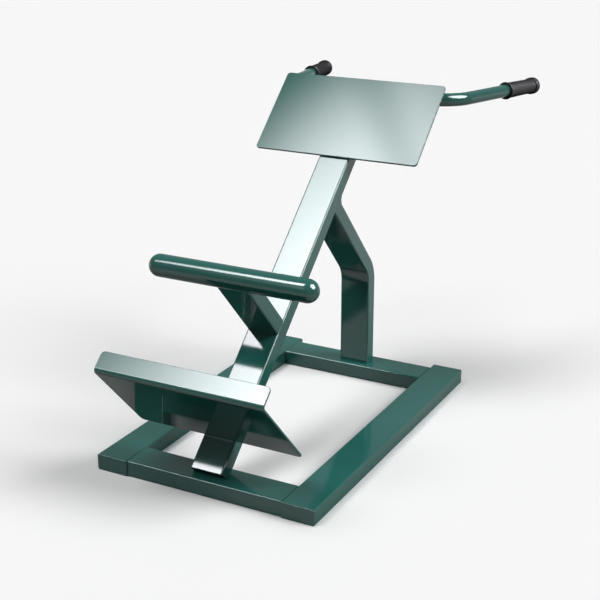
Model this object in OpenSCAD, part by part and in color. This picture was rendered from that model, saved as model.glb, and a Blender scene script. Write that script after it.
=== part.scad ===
// Hyperextension bench of welded box tube, painted dark green.
// X runs to the right across the bench, Y runs to the rear (up the slope), Z is up.
// The origin is on the floor, under the middle of the front crossbar. Sizes are in millimetres.

/* [Box tube] */
// Width of the box tube that the whole frame is made of
tube_w = 80; // [60:1:100]
// Thickness of the box tube, over its flat faces
tube_h = 38; // [30:1:50]
// Wall of the box tube
tube_wall = 2.5; // [2:0.5:4]
// Outer corner radius of the box tube
tube_r = 4; // [3:0.5:8]
// Thickness of the plates that close the open tube ends
cap_t = 2.5; // [2:0.5:5]

/* [Base] */
// Width of the base over both rails
base_w = 550; // [450:1:700]
// Length of the base over the end caps
base_l = 840; // [700:1:1000]
// How far the rails stand out behind the rear crossbar
rear_overhang = 22; // [5:1:60]

/* [Main beam] */
// Slope of the main beam from the floor, in degrees
beam_angle = 42.8; // [38:0.1:48]
// The beam's toe, where its upper face would meet the top of the front crossbar,
// measured forward from the middle of that crossbar
beam_toe = 37.7; // [25:0.1:45]
// Lower end of the beam, measured up its upper face from the toe
beam_start = 22.5; // [0:0.5:40]
// Upper end of the beam, measured up its upper face from the toe
beam_end = 1082.5; // [1000:0.5:1150]

/* [Rear post] */
// Where the middle of the post meets the beam, measured up the beam from the toe
post_up = 740; // [650:0.5:800]
// Radius of the bend in the post, at the centre of the tube
post_bend_r = 80; // [60:1:120]
// Leg of the weld fillet behind the top of the post
weld_leg = 11; // [5:0.5:14]
// Thickness of that fillet at its thin edges
weld_edge = 0.5; // [0.3:0.1:1]

/* [Leg roller] */
// Middle of the roller strut, measured up the beam from the toe
strut_up = 387.3; // [330:0.1:450]
// Height of the roller axis above the beam's upper face
roller_up = 212; // [170:1:260]
// Outer diameter of the leg roller
roller_d = 52; // [44:1:80]
// Length of the leg roller over its domed ends
roller_w = 417; // [360:1:500]
// Wall of the leg roller
roller_wall = 3; // [2:0.5:4]

/* [Foot plate] */
// Front face of the foot plate, measured up the beam from the toe
foot_up = 101.2; // [70:0.1:130]
// Width of the foot plate
foot_w = 410; // [340:1:480]
// Height of the foot plate above the beam
foot_h = 245; // [200:1:300]
// Depth of the lip along its top edge
foot_lip = 50; // [30:1:80]
// Thickness of the foot plate
foot_t = 5; // [4:0.5:8]
// Outer radius of the bend between foot plate and lip
foot_bend_r = 10; // [8:0.5:16]
// Radius of the free corners of the foot plate
foot_corner_r = 10; // [5:0.5:30]

/* [Hip plate] */
// How far the hip plate reaches past the upper end of the beam
hip_over = 5.5; // [0:0.5:20]
// Length of the hip plate along the beam
hip_l = 235; // [200:1:280]
// Width of the hip plate
hip_w = 432; // [360:1:500]
// Thickness of the hip plate
hip_t = 6; // [4:0.5:10]
// Corner radius of the hip plate
hip_corner_r = 8; // [4:0.5:25]

/* [Handlebar] */
// Outer diameter of the handlebar tube
bar_d = 32; // [25:0.5:32]
// Wall of the handlebar tube
bar_wall = 2.5; // [1.5:0.5:4]
// Distance from the upper end of the beam back to the bar that passes through it
bar_back = 20.5; // [20:0.5:100]
// Half the distance between the corners of the handlebar
bar_half = 229.5; // [200:0.5:260]
// Bend radius of the handlebar, at the centre of the tube
bar_bend_r = 95; // [70:1:120]
// How far each handle opens outwards from straight back, in degrees
bar_splay = 11.3; // [0:0.1:20]
// How far the handles dip behind the bar, in degrees
bar_dip = 2.3; // [0:0.1:6]
// Distance from the corner of the bar to the grip collar
grip_start = 257; // [220:1:300]

/* [Grips] */
// Length of the rubber grip
grip_l = 150; // [110:1:170]
// Diameter of the grip body next to the collar
grip_d = 40; // [36:0.5:42]
// Diameter of the grip body next to the end bulb
grip_waist_d = 37.5; // [35:0.5:41]
// Diameter of the collar
collar_d = 44.5; // [42:0.5:50]
// Thickness of the collar
collar_t = 6; // [4:0.5:10]
// Diameter of the end bulb
bulb_d = 43.5; // [40:0.5:50]
// Length of the end bulb
bulb_l = 22; // [18:0.5:30]
// Edge radius of the end bulb
bulb_r = 8; // [4:0.5:9]
// Thickness of the closed end of the grip
grip_end_t = 8; // [4:0.5:12]

/* [Hidden] */
$fn = 96;
green = [0.07, 0.28, 0.24];
dark = [0.13, 0.13, 0.14];
cs = cos(beam_angle);
sn = sin(beam_angle);
rail_l = base_l - 2 * cap_t;
cross_l = base_w - 2 * tube_w;
base_front_y = -tube_w / 2 - cap_t;
post_y = base_front_y + base_l - rear_overhang - tube_w / 2;
// The post's corner: how far it lies under the beam's upper face and above the base.
corner_drop = (post_y + beam_toe - post_up * cs) / sn;
corner_rise = post_up * sn - corner_drop * cs;
post_tan = post_bend_r * tan(beam_angle / 2);
post_low = corner_rise - post_tan;
post_high = corner_drop - post_tan - tube_h;
hip_up = beam_end + hip_over - hip_l;
bar_up = beam_end - bar_back;
bar_turn = 90 - bar_splay;
bar_tan = bar_bend_r * tan(bar_turn / 2);
bar_leg = grip_start + grip_l - grip_end_t;
// Bending leaves a tube slightly slimmer, and a bend laps into the straight tube beside it.
bend_slim = 0.05;
bend_lap = 1;
// How far a bore runs past the end that it opens.
overrun = 1;

// Flat outline with round corners, centred on the origin.
module rounded(w, h, r) {
  square([w - 2 * r, h], center = true);
  square([w, h - 2 * r], center = true);
  for (x = [-w / 2 + r, w / 2 - r])
    for (y = [-h / 2 + r, h / 2 - r])
      translate([x, y]) circle(r = r);
}

// Outline of the box tube wall.
module tube_outline() {
  difference() {
    rounded(tube_w, tube_h, tube_r);
    rounded(tube_w - 2 * tube_wall, tube_h - 2 * tube_wall, tube_r - tube_wall);
  }
}

// Turns its outline through an angle at radius r, and a little way into the straights.
module bend(r, angle) {
  lap = bend_lap / r * 180 / PI;
  rotate(-lap) rotate_extrude(angle = angle + 2 * lap) translate([r, 0]) children();
}

// Length of box tube standing on the XY plane, wide faces to the front and the rear.
module box_tube(len) {
  linear_extrude(height = len) tube_outline();
}

// Puts its children in the beam's own axes, from its toe: Y up the beam, Z out of its upper face.
module on_beam() {
  translate([0, -beam_toe, tube_h]) rotate([beam_angle, 0, 0]) children();
}

module side_rail(side) {
  translate([side * (base_w - tube_w) / 2, rail_l - tube_w / 2, tube_h / 2])
    rotate([90, 0, 0]) box_tube(rail_l);
}

module left_side_rail() color(green) side_rail(-1);

module right_side_rail() color(green) side_rail(1);

module crossbar(y) {
  translate([-cross_l / 2, y, tube_h / 2]) rotate([90, 0, 90]) box_tube(cross_l);
}

module front_crossbar() color(green) crossbar(0);

module rear_crossbar() color(green) crossbar(post_y);

module rail_cap(side, y) {
  translate([side * (base_w - tube_w) / 2, y + cap_t, tube_h / 2])
    rotate([90, 0, 0]) linear_extrude(height = cap_t) rounded(tube_w, tube_h, tube_r);
}

module rail_cap_front_left() color(green) rail_cap(-1, base_front_y);

module rail_cap_front_right() color(green) rail_cap(1, base_front_y);

module rail_cap_rear_left() color(green) rail_cap(-1, rail_l - tube_w / 2);

module rail_cap_rear_right() color(green) rail_cap(1, rail_l - tube_w / 2);

// Block as high as the front crossbar, to trim the foot of the beam down to its top.
module under_crossbar_top() {
  translate([-tube_w, -tube_w, 0]) cube([2 * tube_w, 2 * tube_w, tube_h]);
}

// The box tube is bored crosswise for the handlebar.
module main_beam() color(green) difference() {
  on_beam() difference() {
    translate([0, beam_end - cap_t, -tube_h / 2]) rotate([90, 0, 0])
      box_tube(beam_end - beam_start - 2 * cap_t);
    translate([-tube_w, bar_up, -tube_h / 2]) rotate([0, 90, 0])
      cylinder(h = 2 * tube_w, d = bar_d);
  }
  under_crossbar_top();
}

module beam_cap(y) {
  on_beam() translate([0, y, -tube_h / 2]) rotate([90, 0, 0])
    linear_extrude(height = cap_t) rounded(tube_w, tube_h, tube_r);
}

module beam_foot_cap() color(green) difference() {
  beam_cap(beam_start + cap_t);
  under_crossbar_top();
}

module beam_top_cap() color(green) beam_cap(beam_end);

// Solid bar along the line of the post; the ends run on by extra.
module post_rod(w, h, r, extra) {
  translate([0, post_y, tube_h - extra])
    linear_extrude(height = post_low + extra) rounded(w, h, r);
  translate([0, post_y - post_bend_r, tube_h + post_low]) {
    rotate([90, 0, 90]) bend(post_bend_r, beam_angle)
      rounded(h - 2 * bend_slim, w - 2 * bend_slim, r - bend_slim);
    rotate([beam_angle, 0, 0]) translate([0, post_bend_r, 0])
      linear_extrude(height = post_high + extra) rounded(w, h, r);
  }
}

// Box tube stood on the rear crossbar, bent forward to meet the beam's underside.
module rear_post() color(green) difference() {
  post_rod(tube_w, tube_h, tube_r, 0);
  post_rod(tube_w - 2 * tube_wall, tube_h - 2 * tube_wall, tube_r - tube_wall, overrun);
}

// Hollow-faced fillet in the corner between the post's rear face and the beam.
module post_weld() color(green) on_beam()
  translate([-tube_w / 2 + tube_r, post_up + tube_h / 2, -tube_h]) rotate([90, 0, 90])
    linear_extrude(height = tube_w - 2 * tube_r) difference() {
      translate([0, -weld_leg]) square([weld_leg, weld_leg]);
      translate([weld_leg + weld_edge, -weld_leg - weld_edge]) circle(r = weld_leg);
    }

// Box tube square on the beam, its top hollowed to seat the roller.
module roller_strut() color(green) on_beam() difference() {
  translate([0, strut_up, 0]) box_tube(roller_up);
  translate([-tube_w, strut_up, roller_up]) rotate([0, 90, 0])
    cylinder(h = 2 * tube_w, d = roller_d);
}

// Puts its children on the roller axis, with Z along it.
module on_roller() {
  on_beam() translate([0, strut_up, roller_up]) rotate([0, 90, 0]) children();
}

module roller_tube() color(green) on_roller() difference() {
  translate([0, 0, -roller_w / 2 + roller_d / 2]) cylinder(h = roller_w - roller_d, d = roller_d);
  translate([0, 0, -roller_w / 2]) cylinder(h = roller_w, d = roller_d - 2 * roller_wall);
}

module roller_dome(side) {
  on_roller() translate([0, 0, side * (roller_w - roller_d) / 2]) difference() {
    sphere(d = roller_d);
    sphere(d = roller_d - 2 * roller_wall);
    translate([-roller_d, -roller_d, side > 0 ? -2 * roller_d : 0]) cube(2 * roller_d);
  }
}

module roller_left_dome() color(green) roller_dome(-1);

module roller_right_dome() color(green) roller_dome(1);

// Flat plate with two square corners at y = 0 and two round ones at y = len.
module tongue(w, len, r) {
  translate([-w / 2, 0]) square([w, len - r]);
  translate([-w / 2 + r, 0]) square([w - 2 * r, len]);
  for (x = [-w / 2 + r, w / 2 - r])
    translate([x, len - r]) circle(r = r);
}

// One bent sheet: a standing plate, a quarter bend and a short lip.
module foot_plate() color(green) on_beam() translate([0, foot_up, 0]) {
  translate([0, 0, foot_h - foot_bend_r]) rotate([-90, 0, 0])
    linear_extrude(height = foot_t) tongue(foot_w, foot_h - foot_bend_r, foot_corner_r);
  translate([-foot_w / 2, foot_bend_r, foot_h - foot_bend_r]) rotate([90, 0, 90])
    rotate([0, 0, 90]) rotate_extrude(angle = 90)
      translate([foot_bend_r - foot_t, 0]) square([foot_t, foot_w]);
  translate([0, foot_bend_r, foot_h - foot_t])
    linear_extrude(height = foot_t) tongue(foot_w, foot_lip - foot_bend_r, foot_corner_r);
}

module hip_plate() color(green) on_beam() translate([0, hip_up + hip_l / 2, 0])
  linear_extrude(height = hip_t) rounded(hip_w, hip_l, hip_corner_r);

// Puts its children in the plane of the handlebar, on its crossing with the beam.
module on_bar() {
  on_beam() translate([0, bar_up, -tube_h / 2]) rotate([-beam_angle - bar_dip, 0, 0]) children();
}

// Puts its children on the handle on one side, with Z along it, from the corner of the bar.
module on_handle(side) {
  on_bar() mirror([side < 0 ? 1 : 0, 0, 0]) translate([bar_half, 0, 0])
    rotate([0, 0, -bar_splay]) rotate([-90, 0, 0]) children();
}

// Bent rod along the line of the handlebar; the ends run on by extra.
module bar_rod(d, extra) {
  on_bar() translate([-bar_half + bar_tan, 0, 0]) rotate([0, 90, 0])
    cylinder(h = 2 * (bar_half - bar_tan), d = d);
  for (side = [-1, 1]) {
    on_bar() mirror([side < 0 ? 1 : 0, 0, 0]) translate([bar_half - bar_tan, bar_bend_r, 0])
      rotate([0, 0, -90]) bend(bar_bend_r, bar_turn) circle(d = d - 2 * bend_slim);
    on_handle(side) translate([0, 0, bar_tan]) cylinder(h = bar_leg - bar_tan + extra, d = d);
  }
}

module handlebar() color(green) difference() {
  bar_rod(bar_d, 0);
  bar_rod(bar_d - 2 * bar_wall, overrun);
}

// Half outline of the grip: flanged collar, body that thins a little, round end bulb.
module grip_outline() {
  rim = collar_t / 2;
  square([collar_d / 2 - rim, collar_t]);
  translate([collar_d / 2 - rim, rim]) circle(r = rim);
  polygon([[0, rim], [grip_d / 2, rim], [grip_waist_d / 2, grip_l - bulb_l / 2],
           [0, grip_l - bulb_l / 2]]);
  translate([0, grip_l - bulb_l]) square([bulb_d / 2 - bulb_r, bulb_l]);
  translate([0, grip_l - bulb_l + bulb_r]) square([bulb_d / 2, bulb_l - 2 * bulb_r]);
  translate([bulb_d / 2 - bulb_r, grip_l - bulb_l + bulb_r]) circle(r = bulb_r);
  translate([bulb_d / 2 - bulb_r, grip_l - bulb_r]) circle(r = bulb_r);
}

// Rubber sleeve with a closed end, pushed over the end of the bar.
module grip(side) {
  on_handle(side) translate([0, 0, grip_start]) difference() {
    rotate_extrude() grip_outline();
    translate([0, 0, -overrun])
      cylinder(h = grip_l - grip_end_t + overrun, d = bar_d);
  }
}

module left_grip() color(dark) grip(-1);

module right_grip() color(dark) grip(1);

left_side_rail();
right_side_rail();
front_crossbar();
rear_crossbar();
rail_cap_front_left();
rail_cap_front_right();
rail_cap_rear_left();
rail_cap_rear_right();
main_beam();
beam_foot_cap();
beam_top_cap();
rear_post();
post_weld();
roller_strut();
roller_tube();
roller_left_dome();
roller_right_dome();
foot_plate();
hip_plate();
handlebar();
left_grip();
right_grip();
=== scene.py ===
"""Looks of a hyperextension bench: green gloss paint, dull rubber grips, and the studio.

Everything is in metres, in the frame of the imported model: the floor is Z = 0, Y runs to the rear
and up the slope, X runs to the right, and the origin is under the middle of the front crossbar.
"""
from math import asin, cos, pi, radians, sin, tan

import bpy
import numpy as np
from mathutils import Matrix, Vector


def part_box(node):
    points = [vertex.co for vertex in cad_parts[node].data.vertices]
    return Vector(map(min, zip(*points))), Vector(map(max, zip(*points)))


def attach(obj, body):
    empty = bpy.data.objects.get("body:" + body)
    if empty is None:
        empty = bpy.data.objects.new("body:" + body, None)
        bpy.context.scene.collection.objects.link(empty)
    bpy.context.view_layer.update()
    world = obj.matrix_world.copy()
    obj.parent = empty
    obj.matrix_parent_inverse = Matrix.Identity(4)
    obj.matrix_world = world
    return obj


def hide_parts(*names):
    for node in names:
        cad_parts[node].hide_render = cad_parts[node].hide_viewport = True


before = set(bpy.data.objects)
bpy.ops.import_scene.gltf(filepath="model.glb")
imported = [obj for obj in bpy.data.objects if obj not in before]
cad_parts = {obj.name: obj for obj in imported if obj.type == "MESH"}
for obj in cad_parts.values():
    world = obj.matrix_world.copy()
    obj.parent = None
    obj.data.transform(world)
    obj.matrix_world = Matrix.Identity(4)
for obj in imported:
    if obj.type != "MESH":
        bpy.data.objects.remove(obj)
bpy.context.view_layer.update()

# Box tube of the frame.
TUBE_W = 0.080
TUBE_H = 0.038
TUBE_R = 0.004
CAP_T = 0.0025
CAP_SOFT = 0.0018

# The beam: its slope, its toe on top of the front crossbar, and its two ends measured up the slope.
SLOPE = radians(42.8)
TOE_Y = -0.0377
BEAM_START = 0.0225
BEAM_END = 1.0825

# Rear post and welds.
POST_UP = 0.740
POST_BEND_R = 0.080
WELD_LEG = 0.011
WELD_SINK = 0.001
WELD_IN = 0.0002
BEAD = 0.003

# Foot plate: one sheet with a lip.
FOOT_UP = 0.1012
FOOT_W = 0.410
FOOT_H = 0.245
FOOT_LIP = 0.050
FOOT_T = 0.005
FOOT_BEND_R = 0.010
FOOT_CORNER_R = 0.010

# Hip plate.
HIP_L = 0.235
HIP_W = 0.432
HIP_T = 0.006
HIP_CORNER_R = 0.008
HIP_OVER = 0.0055
PLATE_SOFT = 0.0012

# Handlebar and grips.
BAR_D = 0.032
BAR_BACK = 0.0205
BAR_HALF = 0.2295
BAR_BEND_R = 0.095
BAR_SPLAY = radians(11.3)
BAR_DIP = radians(2.3)
GRIP_START = 0.257
GRIP_L = 0.150
GRIP_D = 0.040
GRIP_TAPER = 0.00125
GRIP_END_T = 0.008
COLLAR_D = 0.0445
COLLAR_T = 0.006
BULB_D = 0.0435
BULB_L = 0.022
BULB_R = 0.008
BULB_SHOULDER = 0.0015

# How far the outermost faces keep inside the solids, so that round-off never puts them outside.
HAIR = 0.00003

# Points round a full circle, round one corner, over half a plate's rim and across its face.
ROUND = 96
CORNER = 10
RIM_STEPS = 5
PLATE_COLUMNS = 41

# Points over each half sphere of the roller and along its straight.
DOME_STEPS = 24
ROLLER_STEPS = 12

# Points round the post's bend, round each bend of the handlebar and along each handle.
POST_BEND_STEPS = 33
BAR_BEND_STEPS = 41
HANDLE_STEPS = 9

# Points round a grip's rims and along its body, in its hollow corner, and over the bulb's shoulder.
GRIP_STEPS = 14
HOLLOW_STEPS = 6
SHOULDER_STEPS = 8

# Rows of points along the hip plate, and along the foot plate's sole, bend and lip.
HIP_ROWS = 22
SOLE_ROWS = 24
BEND_ROWS = 25
LIP_ROWS = 6

# A face with more corners than a quad is a flat end. Edges that turn by more than these stay sharp.
QUAD_CORNERS = 4
SHARP_TURN = radians(40)
GRIP_SHARP_TURN = radians(60)

ALONG = np.array([0.0, cos(SLOPE), sin(SLOPE)])
OUT = np.array([0.0, -sin(SLOPE), cos(SLOPE)])
SIDE = np.array([1.0, 0.0, 0.0])
REAR = np.array([0.0, 1.0, 0.0])
UP = np.array([0.0, 0.0, 1.0])
TOE = np.array([0.0, TOE_Y, TUBE_H])


# Shapes

def beam_way(x, up, out):
    """Sum of x across, up along the beam and out of its upper face, as vectors of the model."""
    return x[..., None] * SIDE + up[..., None] * ALONG + out[..., None] * OUT


def arc(centre, radius, start, end, count):
    """Points on an arc about centre, from start to end in radians, both ends included."""
    turn = np.linspace(start, end, count)
    return np.array(centre) + radius * np.stack([np.cos(turn), np.sin(turn)], -1)


def rounded_outline(width, height, radius):
    """Closed outline of a rectangle with round corners, turning left, and its outward normals."""
    x = width / 2 - radius
    y = height / 2 - radius
    corners = [(x, -y, -pi / 2), (x, y, 0.0), (-x, y, pi / 2), (-x, -y, pi)]
    points = [arc((cx, cy), radius, a, a + pi / 2, CORNER) for cx, cy, a in corners]
    normals = [arc((0.0, 0.0), 1.0, a, a + pi / 2, CORNER) for cx, cy, a in corners]
    return np.concatenate(points), np.concatenate(normals)


def round_outline(diameter):
    """Closed outline of a circle, turning left, and its outward normals."""
    normals = arc((0.0, 0.0), 1.0, 0.0, 2 * pi, ROUND + 1)[:-1]
    return normals * diameter / 2, normals


def ring_faces(numbers):
    """Quads between rings of points, from the points' numbers, a ring a row, closed on itself."""
    following = np.roll(numbers, -1, axis=1)
    quads = np.stack([numbers[:-1], following[:-1], following[1:], numbers[1:]], -1)
    return quads.reshape(-1, 4).tolist()


def numbered(rings):
    """Numbers of the points in rings, in order, a ring a row."""
    return np.arange(rings.shape[0] * rings.shape[1]).reshape(rings.shape[:2])


def skin(rings):
    """Faces of a closed skin over rings of points: quads between rings, and a flat end at each end.

    The rings turn left when seen from the end that comes last, so that all faces point outwards.
    """
    numbers = numbered(rings)
    return ring_faces(numbers) + [numbers[0, ::-1].tolist(), numbers[-1].tolist()]


def carried(flat, across, upright):
    """An outline's points or normals, x laid along across and y along upright, one ring a row."""
    return flat[None, :, :1] * across[:, None, :] + flat[None, :, 1:] * upright[:, None, :]


def lathe(profile, start, axis):
    """Points and faces of a profile turned about an axis from start.

    The profile runs from pole to pole as (distance along the axis, radius); its first and last
    points lie on the axis and are one vertex each.
    """
    first = np.cross(axis, UP)
    first /= np.linalg.norm(first)
    spoke = carried(round_outline(2.0)[0], first[None], np.cross(axis, first)[None])[0]
    body = profile[1:-1]
    rings = start + body[:, 0, None, None] * axis + body[:, 1, None, None] * spoke
    poles = start + profile[[0, -1], 0][:, None] * axis
    numbers = numbered(rings)
    pole = np.full(ROUND, numbers.size)
    fan_low = np.stack([pole, np.roll(numbers[0], -1), numbers[0]], -1).tolist()
    fan_high = np.stack([pole + 1, numbers[-1], np.roll(numbers[-1], -1)], -1).tolist()
    return np.concatenate([rings.reshape(-1, 3), poles]), ring_faces(numbers) + fan_low + fan_high


def plate(width, length, corner, thickness, stops):
    """Plate with round corners and softened rims: points and normals as (x, along, depth), and faces.

    Both large faces are grids with rows at the stops along the plate and a half-width that
    follows the corner circles. Between them the rim is a half round of rings. Depth 0 is the
    outer face.
    """
    inner = corner - PLATE_SOFT
    ease = PLATE_SOFT + inner * (1 - np.cos(np.linspace(0, pi / 2, CORNER)))
    along = np.concatenate([ease, stops, (length - ease)[::-1]])
    short = corner - np.minimum(np.minimum(along, length - along), corner)
    half = width / 2 - corner + np.sqrt(np.maximum(inner ** 2 - short ** 2, 0))
    share = np.linspace(-1, 1, PLATE_COLUMNS)
    face = np.stack(np.broadcast_arrays(half[:, None] * share, along[:, None], 0.0), -1)
    number = np.arange(face.shape[0] * face.shape[1]).reshape(face.shape[:2])
    quads = np.stack([number[:-1, :-1], number[:-1, 1:], number[1:, 1:], number[1:, :-1]], -1)
    quads = quads.reshape(-1, 4)
    rim = np.concatenate([number[0, :-1], number[:-1, -1], number[-1, :0:-1], number[:0:-1, 0]])

    face = face.reshape(-1, 3)
    edge = face[rim]
    x_limit = width / 2 - corner
    middle = np.stack([np.clip(edge[:, 0], -x_limit, x_limit),
                       np.clip(edge[:, 1], corner, length - corner), edge[:, 2]], -1)
    way = (edge - middle) / np.linalg.norm(edge - middle, axis=-1, keepdims=True)
    deeper = np.array([0.0, 0.0, 1.0])
    turn = np.linspace(0, pi / 2, RIM_STEPS)
    reach = np.concatenate([np.sin(turn), np.cos(turn)])[1:-1, None, None]
    lean = np.concatenate([-np.cos(turn), np.sin(turn)])[1:-1, None, None]
    depth = np.where(lean > 0, thickness - PLATE_SOFT, PLATE_SOFT) + PLATE_SOFT * lean
    rings = edge + PLATE_SOFT * reach * way + depth * deeper
    numbers = np.concatenate([rim[None], numbered(rings) + 2 * len(face), rim[None] + len(face)])
    wall = np.array(ring_faces(numbers))[:, ::-1]

    points = np.concatenate([face, face + thickness * deeper, rings.reshape(-1, 3)])
    normals = np.concatenate([0 * face - deeper, 0 * face + deeper,
                              (reach * way + lean * deeper).reshape(-1, 3)])
    return points, normals, quads.tolist() + (quads[:, ::-1] + len(face)).tolist() + wall.tolist()


def add_piece(name, points, faces, material, nodes, normals=None, sharp=SHARP_TURN):
    """Puts a mesh into the scene, riding on the bench in place of the named nodes.

    Where normals are given, one a point, they shade every face but a flat end.
    """
    mesh = bpy.data.meshes.new(name)
    mesh.from_pydata(points.reshape(-1, 3).tolist(), [], faces)
    mesh.shade_smooth()
    if normals is None:
        mesh.set_sharp_from_angle(angle=sharp)
    else:
        sizes = np.empty(len(mesh.polygons), dtype=np.int32)
        mesh.polygons.foreach_get("loop_total", sizes)
        facing = np.empty(3 * len(sizes), dtype=np.float32)
        mesh.polygons.foreach_get("normal", facing)
        corners = np.empty(len(mesh.loops), dtype=np.int32)
        mesh.loops.foreach_get("vertex_index", corners)
        shading = normals.reshape(-1, 3)[corners]
        flat = np.repeat(sizes > QUAD_CORNERS, sizes)
        shading[flat] = np.repeat(facing.reshape(-1, 3), sizes, axis=0)[flat]
        mesh.normals_split_custom_set(shading.tolist())
    mesh.materials.append(material)
    piece = bpy.data.objects.new(name, mesh)
    bpy.context.scene.collection.objects.link(piece)
    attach(piece, "root")
    if nodes:
        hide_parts(*nodes)


# Finishes

GREEN = (0.021, 0.138, 0.117, 1.0)
RUBBER = (0.038, 0.0375, 0.040, 1.0)
PAINT_IOR = 1.5

# Rubber: how squarely a side faces the eye where its gloss is full, the power by which the gloss
# falls below that, and how far along Y a face looks where it still has its gloss and has none.
FULL_GLOSS_FACING = 0.67
GLOSS_FALL = 3.0
MOULDED_SIDE = 0.3
END_FACE = 0.5


def new_group(name, inputs, outputs):
    """Shader node group with named float, colour or vector sockets."""
    group = bpy.data.node_groups.new(name, "ShaderNodeTree")
    for label, kind, default in inputs:
        socket = group.interface.new_socket(label, in_out="INPUT", socket_type=kind)
        socket.default_value = default
    for label, kind in outputs:
        group.interface.new_socket(label, in_out="OUTPUT", socket_type=kind)
    return group


def node(tree, kind, **values):
    """New node; values set its properties, or its inputs where a name has a capital first.

    An underscore in an input's name stands for a space.
    """
    made = tree.nodes.new(kind)
    for key, value in values.items():
        if key[0].isupper():
            made.inputs[key.replace("_", " ")].default_value = value
        else:
            setattr(made, key, value)
    return made


def maths(tree, operation, *values):
    """Output of a math node; each value is a number or a socket to link."""
    made = node(tree, "ShaderNodeMath", operation=operation)
    for place, value in enumerate(values):
        if isinstance(value, float):
            made.inputs[place].default_value = value
        else:
            tree.links.new(value, made.inputs[place])
    return made.outputs[0]


def part_along(tree, direction, way):
    """Part of a direction that lies along way, which is a vector or a socket."""
    made = node(tree, "ShaderNodeVectorMath", operation="DOT_PRODUCT")
    tree.links.new(direction, made.inputs[0])
    if isinstance(way, bpy.types.NodeSocket):
        tree.links.new(way, made.inputs[1])
    else:
        made.inputs[1].default_value = way
    return made.outputs["Value"]


def step(tree, value, start, end):
    """Smooth step of a socket: 0 at start and 1 at end, whichever is larger."""
    made = node(tree, "ShaderNodeMapRange", interpolation_type="SMOOTHSTEP",
                From_Min=min(start, end), From_Max=max(start, end),
                To_Min=float(start > end), To_Max=float(start < end))
    tree.links.new(value, made.inputs["Value"])
    return made.outputs["Result"]


def paint_film_group():
    """Sprayed or moulded skin: slow drift of tone, small changes of gloss, and flow marks.

    Noise on the piece's own coordinates drives all three. Tone is the colour times one plus the
    drift about zero, and roughness is its own value plus a share of the speckle.
    """
    group = new_group("paint_film", [
        ("Colour", "NodeSocketColor", (0.02, 0.11, 0.095, 1.0)),
        ("Tone drift", "NodeSocketFloat", 0.08),
        ("Roughness", "NodeSocketFloat", 0.05),
        ("Gloss drift", "NodeSocketFloat", 0.02),
        ("Flow size", "NodeSocketFloat", 220.0),
        ("Flow depth", "NodeSocketFloat", 0.02),
    ], [
        ("Colour", "NodeSocketColor"),
        ("Roughness", "NodeSocketFloat"),
        ("Normal", "NodeSocketVector")])
    link = group.links.new
    given = group.nodes.new("NodeGroupInput")
    result = group.nodes.new("NodeGroupOutput")
    place = node(group, "ShaderNodeTexCoord")
    drift = node(group, "ShaderNodeTexNoise", Scale=7.0, Detail=3.0, Roughness=0.6)
    speck = node(group, "ShaderNodeTexNoise", Scale=900.0, Detail=2.0, Roughness=0.5)
    flow = node(group, "ShaderNodeTexNoise", Detail=1.5, Roughness=0.45)
    for noise in (drift, speck, flow):
        link(place.outputs["Object"], noise.inputs["Vector"])
    link(given.outputs["Flow size"], flow.inputs["Scale"])

    centred = maths(group, "SUBTRACT", drift.outputs["Fac"], 0.5)
    change = maths(group, "MULTIPLY_ADD", centred, given.outputs["Tone drift"], 1.0)
    tone = node(group, "ShaderNodeVectorMath", operation="SCALE")
    link(given.outputs["Colour"], tone.inputs[0])
    link(change, tone.inputs["Scale"])
    link(tone.outputs[0], result.inputs["Colour"])

    roughness = maths(group, "MULTIPLY_ADD", speck.outputs["Fac"], given.outputs["Gloss drift"],
                      given.outputs["Roughness"])
    link(roughness, result.inputs["Roughness"])

    bump = node(group, "ShaderNodeBump", Distance=0.001)
    link(given.outputs["Flow depth"], bump.inputs["Strength"])
    link(flow.outputs["Fac"], bump.inputs["Height"])
    link(bump.outputs["Normal"], result.inputs["Normal"])
    return group


def finish(name, film, colour, roughness, gloss_drift, flow_size, flow_depth):
    """Finish of one colour, from the shared film and a clear gloss."""
    material = bpy.data.materials.new(name)
    material.use_nodes = True
    tree = material.node_tree
    shader = tree.nodes["Principled BSDF"]
    shader.inputs["IOR"].default_value = PAINT_IOR
    skin_film = node(tree, "ShaderNodeGroup", node_tree=film, Colour=colour, Roughness=roughness,
                     Gloss_drift=gloss_drift, Flow_size=flow_size, Flow_depth=flow_depth)
    tree.links.new(skin_film.outputs["Colour"], shader.inputs["Base Color"])
    tree.links.new(skin_film.outputs["Roughness"], shader.inputs["Roughness"])
    tree.links.new(skin_film.outputs["Normal"], shader.inputs["Normal"])
    return material


def moulded_gloss(material, roughness, index):
    """Rubber's broad gloss: a coat over a dull body, gone edge-on and on faces that look along Y.

    Its weight is how squarely a face looks at the eye, over FULL_GLOSS_FACING and to the power
    GLOSS_FALL but no more than 1, times a smooth step of the face's own part along Y.
    """
    tree = material.node_tree
    shader = tree.nodes["Principled BSDF"]
    shader.inputs["Specular IOR Level"].default_value = 0.0
    shader.inputs["Coat Roughness"].default_value = roughness
    shader.inputs["Coat IOR"].default_value = index
    turned = node(tree, "ShaderNodeLayerWeight", Blend=0.5).outputs["Facing"]
    faces_eye = maths(tree, "DIVIDE", maths(tree, "SUBTRACT", 1.0, turned), FULL_GLOSS_FACING)
    kept = maths(tree, "MINIMUM", maths(tree, "POWER", faces_eye, GLOSS_FALL), 1.0)
    lengthwise = part_along(tree, node(tree, "ShaderNodeNewGeometry").outputs["Normal"], REAR)
    moulded = step(tree, maths(tree, "ABSOLUTE", lengthwise), END_FACE, MOULDED_SIDE)
    tree.links.new(maths(tree, "MULTIPLY", kept, moulded), shader.inputs["Coat Weight"])


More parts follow.
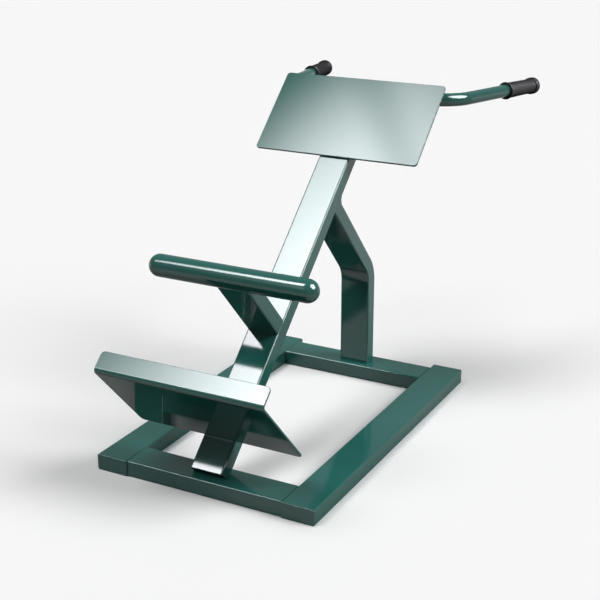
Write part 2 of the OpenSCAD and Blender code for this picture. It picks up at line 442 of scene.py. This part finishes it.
film = paint_film_group()
frame_paint = finish("frame_paint", film, GREEN, roughness=0.07, gloss_drift=0.02,
                     flow_size=220.0, flow_depth=0.008)
plate_paint = finish("plate_paint", film, GREEN, roughness=0.05, gloss_drift=0.02,
                     flow_size=700.0, flow_depth=0.005)
grip_rubber = finish("grip_rubber", film, RUBBER, roughness=0.57, gloss_drift=0.06,
                     flow_size=900.0, flow_depth=0.05)
moulded_gloss(grip_rubber, roughness=0.50, index=2.2)


# Pieces

# Every solid gets frame paint; the ones that no piece replaces stay in sight.
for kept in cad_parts.values():
    for place in kept.material_slots:
        place.material = frame_paint


def make_roller():
    """Leg roller: a straight tube with a half sphere at either end, turned about its axis as one."""
    low = np.array(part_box("roller_left_dome")[0])
    high = np.array(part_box("roller_right_dome")[1])
    radius = (high[2] - low[2]) / 2
    length = high[0] - low[0]
    centre = (low + high) / 2
    near = arc((radius, 0), radius, pi, pi / 2, DOME_STEPS)
    far = arc((length - radius, 0), radius, pi / 2, 0, DOME_STEPS)
    middle = np.linspace(radius, length - radius, ROLLER_STEPS)[1:-1]
    straight = np.stack([middle, np.full_like(middle, radius)], -1)
    profile = np.concatenate([near, straight, far])
    start = np.array([low[0], centre[1], centre[2]])
    points, faces = lathe(profile, start, SIDE)
    add_piece("leg_roller", points, faces, frame_paint,
              ["roller_tube", "roller_left_dome", "roller_right_dome"])


def make_base_tube(name, node_name, along):
    """Level box tube where its solid lies, with smooth corners: its outline at either end."""
    low, high = (np.array(corner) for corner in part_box(node_name))
    half = (high - low) @ along / 2
    path = (low + high) / 2 + np.array([[-half], [half]]) * along
    across = np.tile(np.cross(UP, along), (2, 1))
    upright = np.tile(UP, (2, 1))
    flat, ways = rounded_outline(TUBE_W - 2 * HAIR, TUBE_H - 2 * HAIR, TUBE_R)
    rings = path[:, None, :] + carried(flat, across, upright)
    add_piece(name, rings, skin(rings), frame_paint, [node_name],
              carried(ways, across, upright))


def make_base():
    """The two side rails and the two crossbars."""
    make_base_tube("left_rail", "left_side_rail", REAR)
    make_base_tube("right_rail", "right_side_rail", REAR)
    make_base_tube("front_bar", "front_crossbar", SIDE)
    make_base_tube("rear_bar", "rear_crossbar", SIDE)


def make_cap(name, node_name, centre, across, outward):
    """Cap plate welded over a tube's open end, its outer rim ground round.

    Each ring is the tube's outline, drawn in and carried outward along a quarter circle.
    """
    turn = np.linspace(0, pi / 2, CORNER)
    drawn_in = HAIR + np.concatenate([[0.0], CAP_SOFT * (1 - np.cos(turn))])
    height = np.concatenate([[0.0], CAP_T - HAIR - CAP_SOFT * (1 - np.sin(turn))])
    lean = np.concatenate([[0.0], turn])
    rings = []
    normals = []
    for inset, out, tilt in zip(drawn_in, height, lean):
        flat, ways = rounded_outline(TUBE_W - 2 * inset, TUBE_H - 2 * inset, TUBE_R - inset)
        rings.append(centre + out * outward + carried(flat, across[None], UP[None])[0])
        normals.append(cos(tilt) * carried(ways, across[None], UP[None])[0] + sin(tilt) * outward)
    rings = np.array(rings)
    add_piece(name, rings, skin(rings), frame_paint, [node_name], np.array(normals))


def make_rail_caps():
    """The four caps of the side rails, each where its solid lies."""
    for end, way in (("front", -1.0), ("rear", 1.0)):
        outward = way * REAR
        for side in ("left", "right"):
            node_name = f"rail_cap_{end}_{side}"
            low, high = (np.array(corner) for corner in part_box(node_name))
            centre = (low + high) / 2
            centre[1] = high[1] if end == "front" else low[1]
            make_cap(f"{end}_{side}_cap", node_name, centre, -way * SIDE, outward)


def make_long_beam():
    """Beam between its end caps: box tube with smooth corners, standing level on the crossbar.

    Its lower end is cut square down to a break, and level with the floor below that: each point
    of the outline there is as far up the beam as the higher of the two cuts.
    """
    square = BEAM_START + CAP_T
    side = TUBE_W / 2
    notch = TUBE_H / 2 - square * tan(SLOPE)
    flat, ways = rounded_outline(TUBE_W, TUBE_H, TUBE_R)
    flat = np.insert(flat, [CORNER, 3 * CORNER], [(side, notch), (-side, notch)], axis=0)
    ways = np.insert(ways, [CORNER, 3 * CORNER], [(1.0, 0.0), (-1.0, 0.0)], axis=0)
    out = flat[:, 1] - TUBE_H / 2
    up = np.stack([np.full(len(out), BEAM_END - CAP_T), np.maximum(square, -out / tan(SLOPE))])
    rings = TOE + beam_way(flat[:, 0], up, out)
    normals = beam_way(ways[:, 0], 0 * up, ways[:, 1])
    top, foot = numbered(rings)
    faces = ring_faces(np.stack([top, foot])) + [
        top[::-1].tolist(), foot[CORNER:3 * CORNER + 2].tolist(),
        np.concatenate([foot[3 * CORNER + 1:], foot[:CORNER + 1]]).tolist()]
    add_piece("long_beam", rings, faces, frame_paint, ["main_beam"], normals)


def make_rear_post():
    """Post: box tube up from the crossbar, bent forward by the slope, and on into the beam's edge.

    Its path runs straight up, round an arc of POST_BEND_R through the slope's angle, and straight
    on. The outline stays square to it.
    """
    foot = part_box("rear_post")[1][1] - TUBE_H / 2
    drop = (foot - TOE_Y - POST_UP * cos(SLOPE)) / sin(SLOPE)
    rise = POST_UP * sin(SLOPE) - drop * cos(SLOPE)
    run = POST_BEND_R * tan(SLOPE / 2)
    last = drop - run - TUBE_H + TUBE_R
    bend = np.linspace(0, SLOPE, POST_BEND_STEPS)
    lean = np.concatenate([[0.0], bend, [SLOPE]])
    ahead = POST_BEND_R * (1 - np.cos(bend))
    above = rise - run + POST_BEND_R * np.sin(bend)
    ahead = np.concatenate([[0.0], ahead, [ahead[-1] + last * sin(SLOPE)]])
    above = np.concatenate([[0.0], above, [above[-1] + last * cos(SLOPE)]])
    path = np.stack([0 * ahead, foot - ahead, TUBE_H + above], -1)
    across = np.tile(SIDE, (len(path), 1))
    upright = np.stack([0 * lean, np.cos(lean), np.sin(lean)], -1)
    flat, ways = rounded_outline(TUBE_W, TUBE_H, TUBE_R)
    rings = path[:, None, :] + carried(flat, across, upright)
    add_piece("bent_post", rings, skin(rings), frame_paint, ["rear_post"],
              carried(ways, across, upright))


def beam_bar(profile, width):
    """Rings of a bar across the beam, from its profile as points (up the beam, out of it)."""
    ends = np.array([[-width / 2], [width / 2]])
    return TOE + beam_way(ends, profile[:, 0], profile[:, 1])


def make_post_weld():
    """Weld behind the post's top: a hollow fillet as wide as the tubes, ground flush with them."""
    rear = POST_UP + TUBE_H / 2
    under = -TUBE_H
    hollow = arc((rear + WELD_LEG, under - WELD_LEG), WELD_LEG, pi, pi / 2, CORNER)
    inside = [(rear + WELD_LEG, under + WELD_SINK), (rear - TUBE_R, under + TUBE_R),
              (rear - TUBE_R, under - WELD_LEG)]
    rings = beam_bar(np.concatenate([hollow, inside]), TUBE_W - WELD_IN)
    add_piece("post_fillet", rings, skin(rings), frame_paint, ["post_weld"])


def make_foot_weld():
    """Thin hollow bead where the foot plate's lower face stands on the beam."""
    hollow = arc((FOOT_UP - BEAD, BEAD), BEAD, 0, -pi / 2, CORNER)
    inside = [(FOOT_UP - BEAD, -WELD_SINK), (FOOT_UP + BEAD, -WELD_SINK), (FOOT_UP + BEAD, BEAD)]
    rings = beam_bar(np.concatenate([hollow, inside]), TUBE_W - 2 * TUBE_R)
    add_piece("foot_bead", rings, skin(rings), frame_paint, [])


def make_hip_plate():
    """Hip plate: flat plate with round corners and softened rims, lying on the beam."""
    stops = np.linspace(HIP_CORNER_R, HIP_L - HIP_CORNER_R, HIP_ROWS)[1:-1]
    points, normals, faces = plate(HIP_W, HIP_L, HIP_CORNER_R, HIP_T, stops)
    foot = TOE + (BEAM_END + HIP_OVER - HIP_L) * ALONG + HIP_T * OUT
    placed = foot + beam_way(points[:, 0], points[:, 1], -points[:, 2])
    turned = beam_way(normals[:, 0], normals[:, 1], -normals[:, 2])
    add_piece("hip_sheet", placed, faces, plate_paint, ["hip_plate"], turned)


def make_foot_plate():
    """Foot plate: one sheet that rises square from the beam and bends to a lip up the slope.

    The outer face is the lower one: it turns through a quarter circle at the bend.
    """
    rise = FOOT_H - FOOT_BEND_R
    quarter = FOOT_BEND_R * pi / 2
    length = rise + quarter + FOOT_LIP - FOOT_BEND_R
    stops = np.concatenate([np.linspace(FOOT_CORNER_R, rise, SOLE_ROWS)[1:-1],
                            np.linspace(rise, rise + quarter, BEND_ROWS),
                            np.linspace(rise + quarter, length - FOOT_CORNER_R, LIP_ROWS)[1:-1]])
    points, normals, faces = plate(FOOT_W, length, FOOT_CORNER_R, FOOT_T, stops)
    x, along, depth = points.T
    turn = np.clip((along - rise) / FOOT_BEND_R, 0, pi / 2)
    radius = FOOT_BEND_R - depth
    up = FOOT_UP + FOOT_BEND_R - radius * np.cos(turn) + np.maximum(along - rise - quarter, 0)
    out = np.minimum(along, rise) + radius * np.sin(turn)
    placed = TOE + beam_way(x, up + HAIR, out)
    turned = beam_way(normals[:, 0], normals[:, 1] * np.sin(turn) + normals[:, 2] * np.cos(turn),
                      normals[:, 1] * np.cos(turn) - normals[:, 2] * np.sin(turn))
    add_piece("foot_sheet", placed, faces, plate_paint, ["foot_plate"], turned)


def bar_frame():
    """Corner of the handlebar's plane: its crossing with the beam, its way back, and its normal."""
    crossing = TOE + (BEAM_END - BAR_BACK) * ALONG - TUBE_H / 2 * OUT
    back = np.array([0.0, cos(BAR_DIP), -sin(BAR_DIP)])
    normal = np.array([0.0, sin(BAR_DIP), cos(BAR_DIP)])
    return crossing, back, normal


def make_handlebar():
    """Handlebar: round tube across the beam, bent back at both ends into the splayed handles.

    Half of its path, in the bar's plane, is an arc of BAR_BEND_R and a straight; the other half
    mirrors it. The circle stays square to the path.
    """
    crossing, back, normal = bar_frame()
    turn = pi / 2 - BAR_SPLAY
    run = BAR_BEND_R * tan(turn / 2)
    reach = GRIP_START + GRIP_L - GRIP_END_T
    bend = np.linspace(0, turn, BAR_BEND_STEPS)
    straight = np.linspace(0, reach - run, HANDLE_STEPS)[1:]
    x = BAR_HALF - run + BAR_BEND_R * np.sin(bend)
    y = BAR_BEND_R * (1 - np.cos(bend))
    x = np.concatenate([x, x[-1] + straight * sin(BAR_SPLAY)])
    y = np.concatenate([y, y[-1] + straight * cos(BAR_SPLAY)])
    heading = np.concatenate([bend, np.full_like(straight, turn)])
    x = np.concatenate([-x[::-1], x])
    y = np.concatenate([y[::-1], y])
    heading = np.concatenate([-heading[::-1], heading])
    path = crossing + x[:, None] * SIDE + y[:, None] * back
    inward = -np.sin(heading)[:, None] * SIDE + np.cos(heading)[:, None] * back
    upright = np.tile(normal, (len(path), 1))
    flat, ways = round_outline(BAR_D)
    rings = path[:, None, :] + carried(flat, inward, upright)
    add_piece("bent_bar", rings, skin(rings), frame_paint, ["handlebar"],
              carried(ways, inward, upright))


def grip_profile():
    """Closed outline of a grip from the bore's end to the outer end, as (distance, radius).

    Collar with a round rim, a body that thins a little towards the end, a small hollow corner,
    and a bulb with a tight shoulder and a widely rounded, flat end.
    """
    bore = BAR_D / 2
    rim = COLLAR_T / 2
    collar = COLLAR_D / 2 - rim
    body = GRIP_D / 2
    waist = body - GRIP_TAPER
    bulb = BULB_D / 2 - HAIR
    end = GRIP_L - HAIR
    step_at = GRIP_L - BULB_L
    meet = asin((body - collar) / rim)
    hollow = bulb - BULB_SHOULDER - waist
    inside = [(GRIP_L - GRIP_END_T, 0.0), (GRIP_L - GRIP_END_T, bore), (HAIR, bore)]
    along = np.linspace(0, 1, GRIP_STEPS)[1:-1]
    start = rim + rim * cos(meet)
    sides = np.stack([start + along * (step_at - hollow - start), body - GRIP_TAPER * along], -1)
    return np.concatenate([
        inside,
        arc((rim, collar), rim, pi, meet, GRIP_STEPS),
        sides,
        arc((step_at - hollow, waist + hollow), hollow, 1.5 * pi, 2 * pi, HOLLOW_STEPS),
        arc((step_at + BULB_SHOULDER, bulb - BULB_SHOULDER), BULB_SHOULDER, pi, pi / 2,
            SHOULDER_STEPS)[1:],
        arc((end - BULB_R, bulb - BULB_R), BULB_R, pi / 2, 0, GRIP_STEPS),
        [(end, (bulb - BULB_R) / 2), (end, 0.0)]])


def make_grips():
    """Both rubber grips, pushed over the ends of the bar: the grip's outline turned about it."""
    crossing, back, normal = bar_frame()
    for name, side in (("left_grip", -1), ("right_grip", 1)):
        heading = side * sin(BAR_SPLAY) * SIDE + cos(BAR_SPLAY) * back
        start = crossing + side * BAR_HALF * SIDE + GRIP_START * heading
        points, faces = lathe(grip_profile(), start, heading)
        add_piece(f"{name}_sleeve", points, faces, grip_rubber, [name],
                  sharp=GRIP_SHARP_TURN)


make_roller()
make_base()
make_rail_caps()
make_long_beam()
make_rear_post()
make_post_weld()
make_foot_weld()
make_hip_plate()
make_foot_plate()
make_handlebar()
make_grips()


# Studio

CAMERA_AT = (1.3093, -2.0558, 1.3134)
CAMERA_AZIMUTH = radians(27.94)
CAMERA_DOWN = radians(19.80)
CAMERA_LENS = 74.77

# Directions of the studio, which stands still: to the right of the photograph, and along the floor
# to where it was taken from.
RIGHT = np.array([cos(CAMERA_AZIMUTH), sin(CAMERA_AZIMUTH), 0.0])
NEAR = np.array([sin(CAMERA_AZIMUTH), -cos(CAMERA_AZIMUTH), 0.0])

# Tones: what the camera sees of the floor and the backdrop, what gloss mirrors of the dim walls and
# the painted dim floor, the light from all round, and the floor's darker colour for the light it throws
# back.
PALE = 0.95
DIM_WALLS = 0.325
PAINTED_DIM_FLOOR = 0.42
FILL = 0.10
FLOOR_BOUNCE = 0.11

# Half the floor's side, the camera's sensor width in millimetres and how far it sees.
FLOOR_HALF = 60.0
SENSOR_WIDTH = 36.0
FAR_CLIP = 100.0

# Where the surroundings turn bright. A direction's parts toward NEAR and up are each a smooth step
# from the first number to the second: the pool of bright floor, and the pale band behind.
POOL_NEAR = (-0.3, 0.4)
POOL_BELOW = (-0.03, -0.3)
BAND_ABOVE = (-0.5, -0.2)
BAND_UNDER = (0.20, 0.03)
BAND_BEHIND = (0.0, -0.3)
BAND_SHARE = 0.8

# Lamps. The way to each is its part along RIGHT, along NEAR and up. On a plane square to that way,
# one unit off, it has a centre, half sizes and a roll. Its light is full out to its core, a share
# of its radius, and gone at its rim. The casting lamps light the bench, and its gloss mirrors the
# others: the left lamp as two overlapping ovals with a dark level seam across them. The seam lies
# SEAM_AT above the lamp's way, and SEAM_TILT and SEAM_HALF give its tilt and half its width.
LEFT = (-0.545, 0.0, 0.838)
RIGHT_HAND = (0.704, 0.188, 0.674)
CASTING = [
    {"way": LEFT, "centre": (0.131, 0.119), "half": (0.285, 0.400), "roll": 0.494,
     "core": 0.37, "seam": 0.0, "light": 9.9},
    {"way": RIGHT_HAND, "centre": (0.0, 0.0), "half": (0.34, 0.34), "roll": 0.0,
     "core": 0.6, "seam": 0.0, "light": 9.35},
]
MIRRORED = [
    {"way": LEFT, "centre": (0.112, -0.011), "half": (0.172, 0.452), "roll": 0.228,
     "core": -0.32, "seam": 0.35, "light": 32.2},
    {"way": LEFT, "centre": (-0.027, 0.095), "half": (0.205, 0.108), "roll": -1.16,
     "core": 0.14, "seam": 0.35, "light": 15.1},
    {"way": RIGHT_HAND, "centre": (0.0, 0.0), "half": (0.45, 0.46), "roll": 0.0,
     "core": 0.75, "seam": 0.0, "light": 20.0},
    {"way": (-0.66, 0.50, 0.56), "centre": (0.0, 0.0), "half": (0.26, 0.26), "roll": 0.0,
     "core": 0.25, "seam": 0.0, "light": 1.4},
]
SEAM_AT = 0.1474
SEAM_TILT = 0.06
SEAM_HALF = 0.030
WHITE = (1.0, 1.0, 1.0, 1.0)
COOL_LIGHT = (0.99, 1.0, 1.03, 1.0)


def add_floor(surroundings):
    """Pale floor that throws back little light, because its colour for bounced light is a dark
    FLOOR_BOUNCE.

    For mirrored rays its colour is painted light in the tones of the surroundings: a painted pool of
    bright floor in front of the bench, a painted pale band behind it, and painted dim floor elsewhere.
    The ray that gloss sends out picks the tone, so it is the same studio from all sides.
    """
    corners = [(x * FLOOR_HALF, y * FLOOR_HALF, 0.0) for x, y in ((-1, -1), (1, -1), (1, 1), (-1, 1))]
    mesh = bpy.data.meshes.new("floor")
    mesh.from_pydata(corners, [], [(0, 1, 2, 3)])
    floor = bpy.data.objects.new("floor", mesh)
    bpy.context.scene.collection.objects.link(floor)
    material = bpy.data.materials.new("pale_floor")
    material.use_nodes = True
    tree = material.node_tree
    shader = tree.nodes["Principled BSDF"]
    shader.inputs["Roughness"].default_value = 1.0
    shader.inputs["Specular IOR Level"].default_value = 0.0
    path = node(tree, "ShaderNodeLightPath")
    outward = node(tree, "ShaderNodeVectorMath", operation="SCALE", Scale=-1.0)
    tree.links.new(node(tree, "ShaderNodeNewGeometry").outputs["Incoming"], outward.inputs[0])
    # Painted light: for mirrored rays the floor's colour is the surroundings' tone, a painted bright
    # pool and painted dim floor.
    mirrored = node(tree, "ShaderNodeGroup", node_tree=surroundings, Dim=PAINTED_DIM_FLOOR)
    tree.links.new(outward.outputs[0], mirrored.inputs["Direction"])
    in_gloss = maths(tree, "MAXIMUM", path.outputs["Is Glossy Ray"], path.outputs["Is Transmission Ray"])
    direct = maths(tree, "MULTIPLY", path.outputs["Is Camera Ray"], PALE)
    seen = maths(tree, "MULTIPLY_ADD", mirrored.outputs["Tone"], in_gloss, direct)
    # The floor's colour for bounced light is a dark FLOOR_BOUNCE, so less light reaches the bench's
    # undersides.
    tone = maths(tree, "MAXIMUM", seen, FLOOR_BOUNCE)
    tree.links.new(tone, shader.inputs["Base Color"])
    floor.data.materials.append(material)


def add_camera():
    """Camera at the photograph's place and angle."""
    lens = bpy.data.cameras.new("camera")
    lens.lens = CAMERA_LENS
    lens.sensor_width = SENSOR_WIDTH
    lens.clip_end = FAR_CLIP
    camera = bpy.data.objects.new("camera", lens)
    camera.location = CAMERA_AT
    camera.rotation_euler = (pi / 2 - CAMERA_DOWN, 0.0, CAMERA_AZIMUTH)
    bpy.context.scene.collection.objects.link(camera)
    bpy.context.scene.camera = camera


def surroundings_group():
    """What gloss paint mirrors besides the lamps, from a direction out of the bench.

    A dim studio that stands still, with bright floor in front of the bench and a pale band along
    the horizon behind it. Its tone is PALE where either is full, and Dim where neither is. In the
    world it is light; on the floor it is the floor's colour for mirrored rays, so there it is painted
    light.
    """
    group = new_group("surroundings", [("Direction", "NodeSocketVector", (0, 0, 1)),
                                       ("Dim", "NodeSocketFloat", 0.3)], [("Tone", "NodeSocketFloat")])
    given = group.nodes.new("NodeGroupInput")
    result = group.nodes.new("NodeGroupOutput")
    near = part_along(group, given.outputs["Direction"], NEAR)
    height = part_along(group, given.outputs["Direction"], UP)
    pool = maths(group, "MULTIPLY", step(group, near, *POOL_NEAR), step(group, height, *POOL_BELOW))
    band = maths(group, "MULTIPLY", step(group, height, *BAND_ABOVE), step(group, height, *BAND_UNDER))
    behind = maths(group, "MULTIPLY", step(group, near, *BAND_BEHIND), band)
    pale = maths(group, "MAXIMUM", pool, maths(group, "MULTIPLY", behind, BAND_SHARE))
    rest = maths(group, "SUBTRACT", PALE, given.outputs["Dim"])
    tone = maths(group, "MULTIPLY_ADD", pale, rest, given.outputs["Dim"])
    group.links.new(tone, result.inputs["Tone"])
    return group


def lamp_group():
    """Mask of an oval lamp far away: 1 over its core, fading to 0 at its rim, and a dimmer seam.

    Across and Upright measure a direction in the lamp's half width and half height, and Seam way
    measures it from the lamp's seam in half the seam's width, all on a plane square to Axis.
    """
    group = new_group("lamp", [
        ("Direction", "NodeSocketVector", (0, 0, 1)), ("Axis", "NodeSocketVector", (0, 0, 1)),
        ("Across", "NodeSocketVector", (1, 0, 0)), ("Upright", "NodeSocketVector", (0, 1, 0)),
        ("Seam way", "NodeSocketVector", (0, 1, 0)), ("Seam depth", "NodeSocketFloat", 0.0),
        ("Core", "NodeSocketFloat", 0.5)], [("Mask", "NodeSocketFloat")])
    given = group.nodes.new("NodeGroupInput")
    result = group.nodes.new("NodeGroupOutput")
    direction = given.outputs["Direction"]
    ahead = part_along(group, direction, given.outputs["Axis"])
    side = maths(group, "DIVIDE", part_along(group, direction, given.outputs["Across"]), ahead)
    height = maths(group, "DIVIDE", part_along(group, direction, given.outputs["Upright"]), ahead)
    distance = maths(group, "SQRT", maths(group, "ADD", maths(group, "MULTIPLY", side, side),
                                          maths(group, "MULTIPLY", height, height)))
    disc = node(group, "ShaderNodeMapRange", interpolation_type="SMOOTHSTEP",
                From_Max=1.0, To_Min=1.0, To_Max=0.0)
    group.links.new(distance, disc.inputs["Value"])
    group.links.new(given.outputs["Core"], disc.inputs["From Min"])
    off_seam = maths(group, "DIVIDE", part_along(group, direction, given.outputs["Seam way"]), ahead)
    seam = step(group, maths(group, "ABSOLUTE", off_seam), 1.0, 0.0)
    kept = maths(group, "SUBTRACT", 1.0, maths(group, "MULTIPLY", seam, given.outputs["Seam depth"]))
    lit = maths(group, "MULTIPLY", disc.outputs["Result"], kept)
    mask = maths(group, "MULTIPLY", lit, maths(group, "GREATER_THAN", ahead, 0.0))
    group.links.new(mask, result.inputs["Mask"])
    return group


def place_lamp(tree, group, lamp, direction):
    """Mask of one lamp of a list, seen along a direction."""
    axis = lamp["way"][0] * RIGHT + lamp["way"][1] * NEAR + lamp["way"][2] * UP
    axis /= np.linalg.norm(axis)
    level = np.cross(UP, axis)
    level /= np.linalg.norm(level)
    rise = np.cross(axis, level)
    to_side = level - lamp["centre"][0] * axis
    to_top = rise - lamp["centre"][1] * axis
    roll = lamp["roll"]
    across = (cos(roll) * to_side + sin(roll) * to_top) / lamp["half"][0]
    upright = (cos(roll) * to_top - sin(roll) * to_side) / lamp["half"][1]
    seam_way = (rise + SEAM_TILT * level - SEAM_AT * axis) / SEAM_HALF
    mask = node(tree, "ShaderNodeGroup", node_tree=group, Axis=axis, Across=across, Upright=upright,
                Seam_way=seam_way, Seam_depth=lamp["seam"], Core=lamp["core"])
    tree.links.new(direction, mask.inputs["Direction"])
    return mask.outputs["Mask"]


def add_world(surroundings):
    """Studio all round: dim fill light, the lamps, and for mirrored rays the surroundings.

    The camera sees a pale backdrop. Each lamp casts less light than its mirror image shows, so
    that the bench is lit plainly.
    """
    world = bpy.data.worlds.new("studio")
    bpy.context.scene.world = world
    world.use_nodes = True
    tree = world.node_tree
    tree.nodes.clear()
    link = tree.links.new
    direction = node(tree, "ShaderNodeTexCoord").outputs["Generated"]
    path = node(tree, "ShaderNodeLightPath")
    mirrored = maths(tree, "MAXIMUM", path.outputs["Is Glossy Ray"], path.outputs["Is Transmission Ray"])
    around = node(tree, "ShaderNodeGroup", node_tree=surroundings, Dim=DIM_WALLS)
    link(direction, around.inputs["Direction"])
    backdrop = maths(tree, "MULTIPLY", path.outputs["Is Camera Ray"], PALE)
    background = maths(tree, "MULTIPLY_ADD", around.outputs["Tone"], mirrored, backdrop)
    total = maths(tree, "MAXIMUM", background, FILL)
    group = lamp_group()
    plain = maths(tree, "SUBTRACT", 1.0, mirrored)
    for lamps, share in ((CASTING, plain), (MIRRORED, mirrored)):
        for lamp in lamps:
            mask = maths(tree, "MULTIPLY", place_lamp(tree, group, lamp, direction), share)
            total = maths(tree, "MULTIPLY_ADD", mask, lamp["light"], total)
    tint = node(tree, "ShaderNodeMix", data_type="RGBA", A=WHITE, B=COOL_LIGHT)
    link(mirrored, tint.inputs["Factor"])
    surface = node(tree, "ShaderNodeBackground")
    link(tint.outputs["Result"], surface.inputs["Color"])
    link(total, surface.inputs["Strength"])
    link(surface.outputs[0], node(tree, "ShaderNodeOutputWorld").inputs["Surface"])


surroundings = surroundings_group()
add_floor(surroundings)
add_camera()
add_world(surroundings)
bpy.context.scene.view_settings.view_transform = "Standard"
